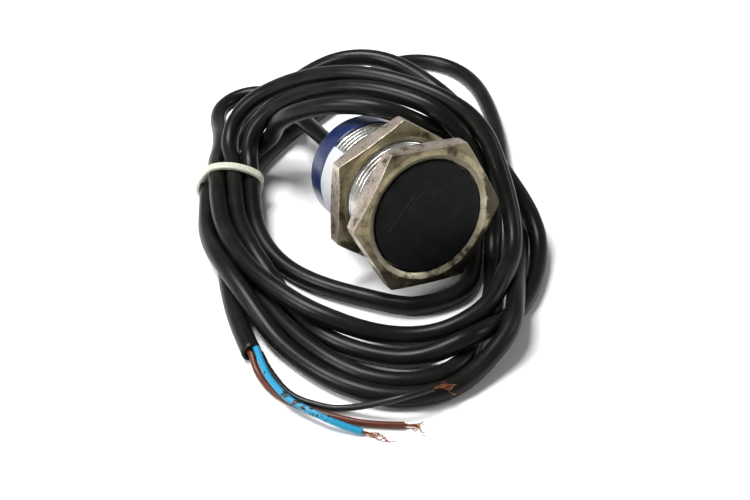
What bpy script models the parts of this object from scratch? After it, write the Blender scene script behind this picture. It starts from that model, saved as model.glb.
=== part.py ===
"""Inductive proximity sensor: M30 threaded barrel, two hexagon nuts and its coiled cable.

The object stands on z = 0.  The barrel lies on its rear nut and points its sensing face
towards -Y, raised by BARREL_TILT.  Sizes are in millimetres until the last step, which
turns them into metres.

Pieces of the barrel are turned about the local Z axis of the empty "barrel_axis": the
sensing face is at local z = 0 and the cable leaves at negative z.  Local Y is upwards.
"""

import math

import bmesh
import bpy
from mathutils import Matrix, Vector

MM = 0.001

# ---- driving dimensions, mm ------------------------------------------------------------
GAP = 0.3                    # clearance kept between neighbouring solids
BARREL_TILT = math.radians(9.8)
FACE_CENTRE = Vector((0.0, -19.4, 23.36))

THREAD_RADIUS = 14.75        # barrel outside, one gap under the nut bore
BARREL_BORE = 14.1
BARREL_FRONT = -1.5          # front end of the metal barrel, behind the face's flange
BARREL_END = -31.0           # rear end of the metal barrel
FLANGE_RADIUS = 14.6         # flange of the sensing face
CAP_RADIUS = 14.9
CAP_SHOULDER = -38.0         # where the rear cap starts to taper
CAP_END = -39.8
OUTLET_END = -42.0           # end of the cable outlet boss

NUT_FLATS = 36.0
NUT_THICKNESS = 5.0
NUT_BORE = THREAD_RADIUS + GAP
NUT_CHAMFER_RADIUS = 17.8
NUT_CHAMFER_DROP = 0.75
COUNTERSINK_WIDTH = 1.4
COUNTERSINK_DEPTH = 0.9
FRONT_NUT = (-4.4, 35.0)     # rear face of the nut, turn of its first corner in degrees
REAR_NUT = (-18.7, 7.5)

CABLE_RADIUS = 2.4
CABLE_START = -32.5          # end of the jacket inside the rear cap
WIRE_RADIUS = 0.8
FLOOR_CABLE = CABLE_RADIUS + 0.05

TIE_CENTRE = Vector((-29.5, 41.0, 7.0))
TIE_ALONG = Vector((-0.467, -0.884, 0.0))        # the way the turns run through the tie
TIE_ACROSS = Vector((0.884, -0.467, 0.0))        # towards the sensor
TIE_WIDTH, TIE_THICKNESS = 2.6, 1.0
TIE_HEAD = (4.8, 4.6, 2.6)   # across the turns, along them, and its height
TIE_HEAD_ACROSS = -3.0
TIE_TURNS = (                # across and height of each turn in the tie
    (-3.2, 10.2), (1.6, 10.3), (-5.5, 6.0), (4.1, 3.6), (6.0, 8.0), (-0.7, 6.0))

ROUND = 64                   # sides of the large turned parts
SMALL = 24                   # sides of the small turned parts


# ---- materials -------------------------------------------------------------------------
def material(name, colour, roughness, metallic=0.0):
    mat = bpy.data.materials.get(name)
    if mat:
        return mat
    mat = bpy.data.materials.new(name)
    mat.use_nodes = True
    shader = mat.node_tree.nodes["Principled BSDF"]
    shader.inputs["Base Color"].default_value = (*colour, 1.0)
    shader.inputs["Roughness"].default_value = roughness
    shader.inputs["Metallic"].default_value = metallic
    return mat


NICKEL = ("worn_nickel", (0.55, 0.50, 0.42), 0.38, 1.0)
BLACK_FACE = ("black_face", (0.012, 0.013, 0.014), 0.55)
BLUE_CAP = ("blue_cap", (0.02, 0.04, 0.16), 0.30)
PAPER = ("label_paper", (0.82, 0.82, 0.80), 0.75)
FERRITE = ("ferrite", (0.05, 0.05, 0.05), 0.70)
NATURAL = ("natural_plastic", (0.80, 0.78, 0.68), 0.45)
COPPER = ("copper", (0.72, 0.34, 0.18), 0.35, 1.0)
BOARD = ("board_green", (0.03, 0.20, 0.08), 0.50)
CHIP = ("chip_black", (0.02, 0.02, 0.02), 0.50)
TANTALUM = ("tantalum_yellow", (0.75, 0.50, 0.10), 0.45)
CERAMIC = ("resistor_body", (0.06, 0.06, 0.07), 0.40)
LENS = ("led_lens", (0.75, 0.62, 0.30), 0.20)
RESIN = ("potting_resin", (0.18, 0.12, 0.05), 0.35)
RUBBER = ("black_rubber", (0.02, 0.02, 0.02), 0.65)
STEEL = ("steel", (0.60, 0.60, 0.60), 0.30, 1.0)
JACKET = ("cable_jacket", (0.012, 0.012, 0.012), 0.48)
BROWN = ("wire_brown", (0.22, 0.06, 0.02), 0.45)
BLUE = ("wire_blue", (0.05, 0.42, 0.72), 0.45)
BLACK = ("wire_black", (0.015, 0.015, 0.015), 0.45)


# ---- building blocks -------------------------------------------------------------------
def finish(obj, look, parent=None):
    """Give an object its material, smooth shading and parent."""
    obj.data.materials.append(material(*look))
    if obj.type == "MESH":
        obj.data.shade_smooth()
        obj.data.set_sharp_from_angle(angle=math.radians(32))
    if parent:
        obj.parent = parent
    return obj


def mesh_object(name, bm):
    """Turn a bmesh in millimetres into a linked object in metres."""
    bmesh.ops.scale(bm, vec=(MM, MM, MM), verts=bm.verts)
    bmesh.ops.recalc_face_normals(bm, faces=bm.faces)
    mesh = bpy.data.meshes.new(name)
    bm.to_mesh(mesh)
    bm.free()
    obj = bpy.data.objects.new(name, mesh)
    bpy.context.scene.collection.objects.link(obj)
    return obj


def turned(name, outline, sides=ROUND):
    """Closed solid of revolution about local Z from a closed outline of (radius, z)."""
    bm = bmesh.new()
    rings = []
    for radius, z in outline:
        if radius < 1e-6:
            rings.append([bm.verts.new((0.0, 0.0, z))])
            continue
        ring = []
        for i in range(sides):
            angle = 2 * math.pi * i / sides
            ring.append(bm.verts.new((radius * math.cos(angle), radius * math.sin(angle), z)))
        rings.append(ring)
    for a, b in zip(rings, rings[1:] + rings[:1]):
        if len(a) == 1 and len(b) == 1:
            continue
        for i in range(sides):
            j = (i + 1) % sides
            corners = [a[i % len(a)], a[j % len(a)], b[j % len(b)], b[i % len(b)]]
            bm.faces.new(list(dict.fromkeys(corners)))
    return mesh_object(name, bm)


def block(name, size, centre, bevel=0.15):
    """Box with its edges bevelled."""
    bm = bmesh.new()
    bmesh.ops.create_cube(bm, size=1.0)
    bmesh.ops.scale(bm, vec=size, verts=bm.verts)
    bmesh.ops.bevel(bm, geom=bm.edges[:], offset=bevel, segments=1, affect="EDGES")
    bmesh.ops.translate(bm, vec=centre, verts=bm.verts)
    return mesh_object(name, bm)


def boolean(obj, cutter, operation):
    modifier = obj.modifiers.new(operation.lower(), "BOOLEAN")
    modifier.object = cutter
    modifier.operation = operation
    modifier.solver = "EXACT"
    cutter.hide_render = True
    cutter.display_type = "WIRE"


def catmull(points, per_span, closed=False):
    """Points read from a smooth curve that passes through the given points."""
    count = len(points)
    spans = count if closed else count - 1
    out = []
    for i in range(spans):
        if closed:
            p0, p1, p2, p3 = (points[(i + k - 1) % count] for k in range(4))
        else:
            p0, p1 = points[max(i - 1, 0)], points[i]
            p2, p3 = points[i + 1], points[min(i + 2, count - 1)]
        for step in range(per_span):
            t = step / per_span
            out.append([
                0.5 * (2 * b + (c - a) * t + (2 * a - 5 * b + 4 * c - d) * t * t
                       + (3 * b - a - 3 * c + d) * t ** 3)
                for a, b, c, d in zip(p0, p1, p2, p3)
            ])
    if not closed:
        out.append(list(points[-1]))
    return out


def tube(name, route, radius, look, per_span=2, resolution=3, parent=None):
    """Solid round cord along a smooth route."""
    curve = bpy.data.curves.new(name, "CURVE")
    curve.dimensions = "3D"
    curve.bevel_depth = radius * MM
    curve.bevel_resolution = resolution
    curve.use_fill_caps = True
    points = catmull(route, per_span)
    spline = curve.splines.new("POLY")
    spline.points.add(len(points) - 1)
    for point, place in zip(spline.points, points):
        point.co = (place[0] * MM, place[1] * MM, place[2] * MM, 1.0)
    obj = bpy.data.objects.new(name, curve)
    bpy.context.scene.collection.objects.link(obj)
    return finish(obj, look, parent)


def lofted_ring(name, stations, look, per_span=2, sides=16):
    """Closed ring whose section is an ellipse that changes along the way.

    A station is (x, y, z, half width, half height, roll in degrees).  The width lies
    across the ring and level when the roll is 0.
    """
    places = catmull(stations, per_span, closed=True)
    bm = bmesh.new()
    rings = []
    for i, (x, y, z, half_width, half_height, roll) in enumerate(places):
        ahead = Vector(places[(i + 1) % len(places)][:3])
        behind = Vector(places[i - 1][:3])
        tangent = (ahead - behind).normalized()
        across = tangent.cross(Vector((0, 0, 1))).normalized()
        across = Matrix.Rotation(math.radians(roll), 3, tangent) @ across
        over = across.cross(tangent)
        ring = []
        for k in range(sides):
            angle = 2 * math.pi * k / sides
            offset = across * half_width * math.cos(angle) + over * half_height * math.sin(angle)
            ring.append(bm.verts.new(Vector((x, y, z)) + offset))
        rings.append(ring)
    for a, b in zip(rings, rings[1:] + rings[:1]):
        for k in range(sides):
            m = (k + 1) % sides
            bm.faces.new((a[k], a[m], b[m], b[k]))
    return finish(mesh_object(name, bm), look)


# ---- barrel ----------------------------------------------------------------------------
def barrel_empty():
    empty = bpy.data.objects.new("barrel_axis", None)
    empty.location = FACE_CENTRE * MM
    empty.rotation_euler = (math.pi / 2 - BARREL_TILT, 0, 0)
    bpy.context.scene.collection.objects.link(empty)
    return empty


def front_cap(parent):
    """Black plastic cup whose floor is the sensing face, with a flange over the barrel."""
    flange_back = BARREL_FRONT + GAP
    outline = [
        (0, 0), (FLANGE_RADIUS - 0.25, 0), (FLANGE_RADIUS, -0.25),
        (FLANGE_RADIUS, flange_back), (13.8, flange_back), (13.8, -8.2), (12.3, -8.2),
        (12.3, -11.0), (11.6, -11.0), (11.6, -7.6), (12.8, -7.6), (12.8, -1.0), (0, -1.0),
    ]
    finish(turned("sensing_face_cap", outline), BLACK_FACE, parent)
    ring = [(12.6, -8.6), (13.3, -8.5), (13.8, -9.2), (13.3, -9.9), (12.6, -9.8)]
    finish(turned("face_seal_ring", ring, 48), RUBBER, parent)


def barrel_tube(parent):
    """Nickel-plated brass barrel, bevelled at both ends."""
    outline = [
        (BARREL_BORE, BARREL_FRONT), (14.45, BARREL_FRONT), (THREAD_RADIUS, BARREL_FRONT - 0.4),
        (THREAD_RADIUS, BARREL_END + 0.4), (14.4, BARREL_END), (BARREL_BORE, BARREL_END),
    ]
    finish(turned("barrel_tube", outline), NICKEL, parent)


def hexagon_nut(name, rear_face, turn, parent):
    """Thin hexagon nut, chamfered on both faces, with a countersunk bore.

    Its origin is on the barrel's axis at half its thickness.
    """
    half = NUT_THICKNESS / 2
    corner = NUT_FLATS / math.sqrt(3)
    bm = bmesh.new()
    bmesh.ops.create_cone(
        bm, cap_ends=True, segments=6, radius1=corner, radius2=corner, depth=NUT_THICKNESS)
    nut = mesh_object(name, bm)

    limit = [
        (0, half), (NUT_CHAMFER_RADIUS, half), (corner + 0.02, half - NUT_CHAMFER_DROP),
        (corner + 0.02, NUT_CHAMFER_DROP - half), (NUT_CHAMFER_RADIUS, -half), (0, -half),
    ]
    chamfer = turned(name + "_chamfer_guide", limit)
    boolean(nut, chamfer, "INTERSECT")

    over = half + COUNTERSINK_DEPTH
    mouth = NUT_BORE + 2 * COUNTERSINK_WIDTH
    bore = [
        (0, over), (mouth, over), (NUT_BORE, half - COUNTERSINK_DEPTH),
        (NUT_BORE, COUNTERSINK_DEPTH - half), (mouth, -over), (0, -over),
    ]
    cutter = turned(name + "_bore_cutter", bore)
    boolean(nut, cutter, "DIFFERENCE")

    for guide in (chamfer, cutter):
        guide.parent = nut
    nut.parent = parent
    nut.location = (0, 0, (rear_face + half) * MM)
    # the first corner starts on local Y, upwards, and turns towards local X
    nut.rotation_euler = (0, 0, math.radians(-turn))
    return finish(nut, NICKEL)


def rear_cap(parent):
    """Blue cap with a spigot in the barrel and a boss for the cable."""
    outline = [
        (13.8, -27.5), (13.8, BARREL_END - GAP), (CAP_RADIUS, BARREL_END - GAP),
        (CAP_RADIUS, CAP_SHOULDER + 0.4), (14.5, CAP_SHOULDER), (12.0, CAP_END),
        (6.6, CAP_END), (6.2, OUTLET_END), (5.0, OUTLET_END), (5.0, -37.6),
        (10.8, -36.6), (12.9, -35.5), (12.9, -27.5),
    ]
    finish(turned("rear_end_cap", outline), BLUE_CAP, parent)


def label(parent):
    """Paper strip wrapped around part of the barrel between the rear nut and the cap."""
    inner, outer = THREAD_RADIUS + GAP, THREAD_RADIUS + GAP + 0.2
    front, rear = -19.6, -30.6
    start, end, steps = math.radians(132), math.radians(236), 20
    bm = bmesh.new()
    loops = []
    for i in range(steps + 1):
        angle = start + (end - start) * i / steps
        side = math.cos(angle), math.sin(angle)
        loops.append([
            bm.verts.new((radius * side[0], radius * side[1], z))
            for radius, z in ((inner, front), (outer, front), (outer, rear), (inner, rear))
        ])
    for a, b in zip(loops, loops[1:]):
        for k in range(4):
            m = (k + 1) % 4
            bm.faces.new((a[k], a[m], b[m], b[k]))
    bm.faces.new(loops[0])
    bm.faces.new(loops[-1])
    finish(mesh_object("marking_label", bm), PAPER, parent)


# ---- inside the barrel -----------------------------------------------------------------
def sensing_coil(parent):
    core = [
        (1.8, -1.4), (5.2, -1.4), (5.2, -5.2), (10.6, -5.2), (10.6, -1.4), (12.3, -1.4),
        (12.3, -7.2), (1.8, -7.2),
    ]
    finish(turned("ferrite_core", core, 48), FERRITE, parent)
    bobbin = [
        (5.5, -1.5), (10.3, -1.5), (10.3, -1.9), (6.1, -1.9), (6.1, -4.5), (10.3, -4.5),
        (10.3, -4.9), (5.5, -4.9),
    ]
    finish(turned("coil_bobbin", bobbin, 48), NATURAL, parent)
    winding = [(6.4, -2.2), (9.8, -2.2), (9.8, -4.2), (6.4, -4.2)]
    finish(turned("coil_winding", winding, 48), COPPER, parent)


def electronics(parent):
    """Main board on edge along the axis, its parts, and the ring of indicator lamps."""
    board_top = 0.5
    finish(block("circuit_board", (20.0, 1.0, 11.6), (0, 0, -17.4), 0.1), BOARD, parent)
    seat = board_top + GAP
    parts = [
        ("oscillator_chip", (5.0, 1.6, 4.0), (-5.0, -15.0), CHIP),
        ("output_transistor", (6.0, 1.7, 3.6), (4.0, -19.5), CHIP),
        ("tantalum_capacitor", (3.4, 1.8, 2.6), (4.4, -14.0), TANTALUM),
        ("filter_capacitor", (2.2, 1.2, 1.6), (-5.2, -20.2), NATURAL),
    ]
    for name, size, (x, z), look in parts:
        finish(block(name, size, (x, seat + size[1] / 2, z), 0.12), look, parent)
    for i in range(3):
        place = (-6.0 + 5.0 * i, -(seat + 0.3), -15.0 - 1.5 * i)
        finish(block(f"resistor_{i + 1}", (2.0, 0.6, 1.2), place, 0.08), CERAMIC, parent)
    plug = [(2.6, -24.0), (13.7, -24.0), (13.7, -27.0), (2.6, -27.0)]
    finish(turned("potting_plug", plug, 48), RESIN, parent)
    lamp_board = [(5.2, -28.0), (12.4, -28.0), (12.4, -28.9), (5.2, -28.9)]
    finish(turned("indicator_board", lamp_board, 48), BOARD, parent)
    for i in range(4):
        angle = math.radians(45 + 90 * i)
        lamp = turned(f"indicator_lamp_{i + 1}", [
            (0, -29.2), (1.3, -29.2), (1.3, -30.6), (0.9, -31.3), (0, -31.5)], 16)
        lamp.location = (9.2 * math.cos(angle) * MM, 9.2 * math.sin(angle) * MM, 0)
        finish(lamp, LENS, parent)


def cable_entry(parent):
    """What holds the cable: a crimp ring inside the cap and a grommet in its boss."""
    crimp = [(2.75, -34.0), (3.6, -34.0), (3.6, -36.2), (2.75, -36.2)]
    finish(turned("crimp_ring", crimp, SMALL), STEEL, parent)
    grommet = [
        (2.75, -36.9), (4.6, -36.9), (4.6, -42.4), (5.3, -42.6), (5.0, -44.2),
        (3.5, -45.6), (2.75, -45.6),
    ]
    finish(turned("cable_grommet", grommet, SMALL), RUBBER, parent)
    ends = (("brown", 0, BROWN), ("blue", 120, BLUE), ("black", 240, BLACK))
    for colour, degrees, look in ends:
        x, y = math.cos(math.radians(degrees)), math.sin(math.radians(degrees))
        route = [
            (1.3 * x, 1.3 * y, CABLE_START + GAP), (1.35 * x, 1.35 * y, -30.0),
            (1.4 * x, 1.4 * y, -27.0), (1.4 * x, 1.4 * y, -23.6),
        ]
        tube(f"{colour}_inner_lead", route, 0.7, look, 1, 2, parent)


# ---- cable -----------------------------------------------------------------------------
def on_axis(z):
    """World place of a point on the barrel's axis."""
    return tuple(
        FACE_CENTRE + z * Vector((0, -math.cos(BARREL_TILT), math.sin(BARREL_TILT))))


def cable():
    low = FLOOR_CABLE
    lead = [
        on_axis(CABLE_START), on_axis(-37), on_axis(-42), on_axis(-47), on_axis(-52),
        (0.3, 39, 12.9), (0.8, 48, 11.7), (1.1, 58, 10.7), (1.3, 68, 9.6), (0.8, 78, 8.5),
        (-1.6, 86.6, 7.4), (-7, 91, 6.4), (-13, 89, 5.8), (-17.8, 81.6, 5.3), (-21.4, 73, 5.0),
    ]
    tube("cable_lead", lead, CABLE_RADIUS, JACKET)

    inner_turn = [
        (-27.6, 2, low), (-25.4, -4, low), (-21.6, -10, low), (-16.8, -15.6, low),
        (-12, -20.4, low), (-7.4, -24.3, low), (-2, -25.9, low), (4, -25.8, low),
        (8.8, -23.9, low), (12.6, -19.6, low), (16.6, -14.6, 3.0), (20.6, -9.8, 6.0),
        (23.8, -5.2, 10.4),
    ]
    tube("cable_inner_turn", inner_turn, CABLE_RADIUS, JACKET)

    back_loop = [
        (40, 2.5, low), (43.6, 10, low), (47.6, 19, low), (52.2, 28.5, low), (57, 38.5, low),
        (61.4, 49, low), (64.2, 60, low), (65, 71, low), (62.4, 80.6, low), (56.6, 87, low),
        (48.6, 89.6, low), (40, 87.4, low), (31, 82.8, low), (21.6, 77.6, low),
        (12, 71.8, low), (3, 66, low), (-5, 60.6, low),
    ]
    tube("cable_back_loop", back_loop, CABLE_RADIUS, JACKET)

    tail = [(-49.6, -4.5, low), (-50.6, -11, low), (-51.2, -17, low), (-51.4, -23, low)]
    tube("cable_tail", tail, CABLE_RADIUS, JACKET)

    coil = [
        (-29.3, 40.9, 7.3, 7.2, 4.5, 0),
        (-36.4, 21.5, 6.2, 7.8, 4.9, 0),
        (-39.0, 8, 5.5, 7.8, 5.2, 0),
        (-38.6, -10, 5.3, 8.2, 5.0, 0),
        (-35.4, -25, 4.8, 8.6, 4.5, 0),
        (-28.0, -38, 4.3, 10.0, 4.0, 0),
        (-17.0, -46, 4.2, 11.0, 3.9, 0),
        (-4.0, -47, 4.9, 9.6, 4.6, 0),
        (8.0, -41.5, 5.9, 8.2, 5.4, 0),
        (19.0, -32, 7.6, 8.0, 6.2, -25),
        (28.4, -20.5, 10.6, 8.6, 6.0, -45),
        (33.6, -8, 15.6, 8.6, 5.6, -60),
        (33.0, 4, 21.8, 8.6, 5.4, -60),
        (27.0, 17, 29.0, 10.0, 5.0, -45),
        (17.5, 28, 34.2, 12.4, 4.6, -20),
        (7.0, 37.5, 35.8, 14.0, 4.4, -12),
        (-4.0, 46, 31.0, 13.0, 4.6, -12),
        (-12.5, 51.5, 21.5, 10.4, 5.0, -8),
        (-20.5, 51.5, 12.0, 8.4, 5.0, -4),
    ]
    lofted_ring("cable_coil", coil, JACKET)


def strap_line(count):
    """Inner line of the tie's strap round the turns of the cable, as (across, height)."""
    line = []
    for i in range(count):
        angle = 2 * math.pi * i / count
        way = (math.cos(angle), math.sin(angle))
        turn = max(TIE_TURNS, key=lambda place: place[0] * way[0] + place[1] * way[1])
        reach = CABLE_RADIUS + GAP
        height = max(turn[1] + reach * way[1], TIE_THICKNESS + 0.2)
        line.append((turn[0] + reach * way[0], height, *way))
    filled = []
    for place, following in zip(line, line[1:] + line[:1]):
        steps = max(1, round(math.dist(place[:2], following[:2]) / 1.2))
        for k in range(steps):
            t = k / steps
            filled.append([a + (b - a) * t for a, b in zip(place, following)])
    return filled


def tie():
    """Cable tie round the coil: its locking head under the turns, and the strap round them.

    The strap starts at one side of the head and ends at the other.
    """
    across_head, _, head_height = TIE_HEAD
    head_side = across_head / 2 + GAP
    line = strap_line(40)
    under = [
        i for i, place in enumerate(line)
        if abs(place[0] - TIE_HEAD_ACROSS) < head_side and place[1] < TIE_CENTRE.z]
    free = line[max(under) + 1:] + line[:min(under)]
    half_width = TIE_WIDTH / 2
    bm = bmesh.new()
    loops = []
    for across, height, out_across, out_height in free:
        loop = []
        for shift, out in ((-half_width, 0), (-half_width, TIE_THICKNESS),
                           (half_width, TIE_THICKNESS), (half_width, 0)):
            place = TIE_CENTRE + TIE_ALONG * shift + TIE_ACROSS * (across + out_across * out)
            place.z = height + out_height * out
            loop.append(bm.verts.new(place))
        loops.append(loop)
    for a, b in zip(loops, loops[1:]):
        for k in range(4):
            m = (k + 1) % 4
            bm.faces.new((a[k], a[m], b[m], b[k]))
    bm.faces.new(loops[0])
    bm.faces.new(loops[-1])
    finish(mesh_object("cable_tie_strap", bm), NATURAL)
    head = block("cable_tie_head", TIE_HEAD, (0, 0, 0), 0.3)
    head.rotation_euler = (0, 0, math.atan2(TIE_ACROSS.y, TIE_ACROSS.x))
    place = TIE_CENTRE + TIE_ACROSS * TIE_HEAD_ACROSS
    place.z = head_height / 2 + 0.1
    head.location = place * MM
    finish(head, NATURAL)


def conductors():
    """The three stripped conductors at the free end, each with its bare copper tip."""
    low = WIRE_RADIUS + 0.1
    wires = (
        ("brown", BROWN, [
            (-51.6, -23.7, 2.6), (-52.1, -26.6, 1.7), (-52, -30, low), (-51.4, -34.6, low),
            (-49.9, -39, low), (-46.9, -44, low), (-43, -49, low), (-39.8, -52.4, low),
            (-36.9, -55.1, low), (-33, -57.8, low), (-28.6, -60.3, low)]),
        ("blue", BLUE, [
            (-50.2, -23.5, 3.6), (-50.8, -28.6, 3.3), (-51, -33.7, 3.0), (-50.2, -38.6, 3.0),
            (-48.8, -43.2, 2.9), (-46.6, -47.6, 2.8), (-43.8, -52, 2.4), (-41, -55, 1.6),
            (-38, -57.8, low)]),
        ("black", BLACK, [
            (-48.9, -23.2, 1.6), (-49.1, -27.1, 1.0), (-48.8, -32, low), (-48, -37.4, low),
            (-46.2, -41.6, low), (-43.4, -45.2, low), (-40.6, -48, 1.0), (-37.8, -50.2, 1.7),
            (-35.2, -52.2, 2.8), (-32.2, -54.3, 4.2), (-29.7, -55.8, 5.2), (-26.9, -56.8, 5.9),
            (-23.3, -57.3, 6.1), (-19.7, -57.5, 6.1)]),
    )
    for colour, look, route in wires:
        tube(f"{colour}_wire", route, WIRE_RADIUS, look, 2, 2)
        last, before = Vector(route[-1]), Vector(route[-2])
        ahead = Vector((last.x - before.x, last.y - before.y, 0)).normalized()
        start = last + ahead * GAP
        tip = [tuple(start), tuple(start + ahead * 2.5), tuple(start + ahead * 5.0)]
        tube(f"{colour}_copper_strands", tip, 0.55, COPPER, 1, 2)


def main():
    for obj in list(bpy.data.objects):
        bpy.data.objects.remove(obj)
    axis = barrel_empty()
    front_cap(axis)
    barrel_tube(axis)
    hexagon_nut("front_nut", *FRONT_NUT, axis)
    hexagon_nut("rear_nut", *REAR_NUT, axis)
    rear_cap(axis)
    label(axis)
    sensing_coil(axis)
    electronics(axis)
    cable_entry(axis)
    cable()
    tie()
    conductors()


main()
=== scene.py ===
import math

import bmesh
import bpy
import numpy as np
from mathutils import Matrix, Vector, noise


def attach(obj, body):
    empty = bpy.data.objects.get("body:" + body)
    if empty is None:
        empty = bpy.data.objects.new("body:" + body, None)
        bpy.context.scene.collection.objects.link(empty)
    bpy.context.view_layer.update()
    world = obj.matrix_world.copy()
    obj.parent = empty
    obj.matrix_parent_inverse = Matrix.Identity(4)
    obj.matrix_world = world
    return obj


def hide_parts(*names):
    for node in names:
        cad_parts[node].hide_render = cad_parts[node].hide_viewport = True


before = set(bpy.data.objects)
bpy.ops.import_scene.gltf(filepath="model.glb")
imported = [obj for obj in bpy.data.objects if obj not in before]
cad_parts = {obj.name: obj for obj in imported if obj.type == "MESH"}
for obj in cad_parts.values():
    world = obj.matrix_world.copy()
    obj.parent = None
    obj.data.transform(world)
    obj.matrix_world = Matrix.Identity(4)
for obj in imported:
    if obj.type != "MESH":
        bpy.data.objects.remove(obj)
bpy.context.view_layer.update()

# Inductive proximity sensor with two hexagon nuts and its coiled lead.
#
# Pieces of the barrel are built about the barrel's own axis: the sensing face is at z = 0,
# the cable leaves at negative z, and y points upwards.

MM = 0.001

# ---- the barrel ------------------------------------------------------------------------
BARREL_TILT = math.radians(9.8)
FACE_CENTRE = np.array((0.0, -19.4, 23.36))
OUTWARDS = np.array((0.0, -math.cos(BARREL_TILT), math.sin(BARREL_TILT)))
BARREL_AXIS = (Matrix.Translation(Vector(FACE_CENTRE) * MM)
               @ Matrix.Rotation(math.pi / 2 - BARREL_TILT, 4, "X"))

THREAD_CREST = 14.85
THREAD_ROOT = 14.15
THREAD_PITCH = 1.5
BARREL_BORE = 14.1
BARREL_FRONT, BARREL_REAR = -1.5, -31.0
FLANGE_RADIUS = 14.6         # flange of the sensing face, over the end of the barrel
CAP_RADIUS = 14.9

NUT_FLATS = 36.0
NUT_THICKNESS = 5.0
NUT_BORE = 15.05
COUNTERSINK_WIDTH, COUNTERSINK_DEPTH = 1.4, 0.9
NUT_CHAMFER_RADIUS = 17.8
NUT_CHAMFER_DROP = 0.75
FRONT_NUT = (-4.4, 35.0)     # rear face of the nut, turn of its first corner in degrees
REAR_NUT = (-18.7, 7.5)

# ---- the cable -------------------------------------------------------------------------
CABLE_RADIUS = 2.4
CABLE_START = -32.5          # on the barrel's axis, inside the rear cap
CABLE_EXIT = -45.6           # on the barrel's axis, at the end of the grommet
WIRE_RADIUS = 0.8
FLOOR_CABLE = CABLE_RADIUS + 0.05

TIE_CENTRE = np.array((-29.5, 41.0))
TIE_ALONG = np.array((-0.467, -0.884, 0.0))      # the way the turns run through the tie
TIE_ACROSS = np.array((0.884, -0.467, 0.0))      # towards the sensor
TIE_WIDTH, TIE_THICKNESS = 2.6, 1.0
TIE_HEAD = (4.8, 4.6, 2.6)   # across the turns, along them, and its height
TIE_HEAD_ACROSS = -3.0
TIE_TURNS = {                # across and height of each turn in the tie
    "first": (-3.4, 9.6), "second": (1.5, 9.7), "third": (-5.9, 5.4),
    "fourth": (4.1, 3.6), "fifth": (6.2, 8.0), "tail": (-0.8, 5.4)}


# ---- meshes ----------------------------------------------------------------------------
def rounded(outline, radius, steps=3):
    """The closed outline with each corner replaced by a small arc."""
    outline = np.asarray(outline, float)
    before, after = np.roll(outline, 1, 0), np.roll(outline, -1, 0)
    out = []
    for corner, back, ahead in zip(outline, before, after):
        to_back, to_ahead = back - corner, ahead - corner
        reach_back = min(radius, 0.45 * np.linalg.norm(to_back))
        reach_ahead = min(radius, 0.45 * np.linalg.norm(to_ahead))
        start = corner + to_back / np.linalg.norm(to_back) * reach_back
        end = corner + to_ahead / np.linalg.norm(to_ahead) * reach_ahead
        for i in range(steps + 1):
            t = i / steps
            out.append((1 - t) ** 2 * start + 2 * t * (1 - t) * corner + t * t * end)
    return np.array(out)


def grid_faces(rows, sides, loop=False, ends=False):
    """Faces over a grid of closed rings; loop joins the last ring to the first."""
    index = np.arange(rows * sides).reshape(rows, sides)
    near = index if loop else index[:-1]
    far = np.roll(index, -1, 0) if loop else index[1:]
    quads = np.stack([near, np.roll(near, -1, 1), np.roll(far, -1, 1), far], -1)
    faces = quads.reshape(-1, 4).tolist()
    if ends:
        faces += [index[0].tolist(), index[-1].tolist()]
    return faces


def piece(name, points, faces, look, body, stands_for=(), place=None, sharp=38):
    """Object from points in millimetres, riding on a body with its material and slot."""
    mesh = bpy.data.meshes.new(name)
    mesh.from_pydata((np.asarray(points) * MM).tolist(), [], faces)
    bm = bmesh.new()
    bm.from_mesh(mesh)
    bmesh.ops.remove_doubles(bm, verts=bm.verts, dist=1e-7)
    bmesh.ops.recalc_face_normals(bm, faces=bm.faces)
    bm.to_mesh(mesh)
    bm.free()
    mesh.shade_smooth()
    mesh.set_sharp_from_angle(angle=math.radians(sharp))
    mesh.materials.append(look)
    obj = bpy.data.objects.new(name, mesh)
    bpy.context.scene.collection.objects.link(obj)
    if place:
        obj.matrix_world = place
    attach(obj, body)
    if stands_for:
        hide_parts(*stands_for)
    return obj


def spun(outline, sides):
    """Points and faces of a solid of revolution about z from a closed (radius, z) outline."""
    outline = np.asarray(outline, float)
    angle = np.linspace(0, 2 * math.pi, sides, endpoint=False)[:, None]
    radius, height = outline[:, 0], outline[:, 1]
    rings = np.stack([radius * np.cos(angle), radius * np.sin(angle),
                      np.broadcast_to(height, (sides, len(outline)))], -1)
    return rings.reshape(-1, 3), grid_faces(sides, len(outline), loop=True)


def smooth_route(points, per_span):
    """Catmull-Rom curve through the points."""
    points = np.asarray(points, float)
    ends = np.vstack([2 * points[0] - points[1], points, 2 * points[-1] - points[-2]])
    t = (np.arange(per_span) / per_span)[None, :, None]
    a, b, c, d = (ends[k:len(points) - 1 + k, None] for k in range(4))
    curve = 0.5 * (2 * b + (c - a) * t + (2 * a - 5 * b + 4 * c - d) * t ** 2
                   + (3 * b - a - 3 * c + d) * t ** 3)
    return np.vstack([curve.reshape(-1, 3), points[-1:]])


def even_steps(route, step):
    """The route with its points a constant distance apart."""
    length = np.r_[0, np.cumsum(np.linalg.norm(np.diff(route, axis=0), axis=1))]
    count = max(2, int(round(length[-1] / step)))
    at = np.linspace(0, length[-1], count + 1)
    return np.stack([np.interp(at, length, route[:, k]) for k in range(3)], 1)


def carried_frames(route):
    """Tangents and two side directions that turn as little as possible along the route."""
    ahead = np.gradient(route, axis=0)
    ahead /= np.linalg.norm(ahead, axis=1)[:, None]
    side = np.cross(ahead[0], (0.0, 0.0, 1.0))
    sides = []
    for direction in ahead:
        side = side - direction * (side @ direction)
        side = side / np.linalg.norm(side)
        sides.append(side)
    sides = np.array(sides)
    return ahead, sides, np.cross(ahead, sides)


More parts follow.
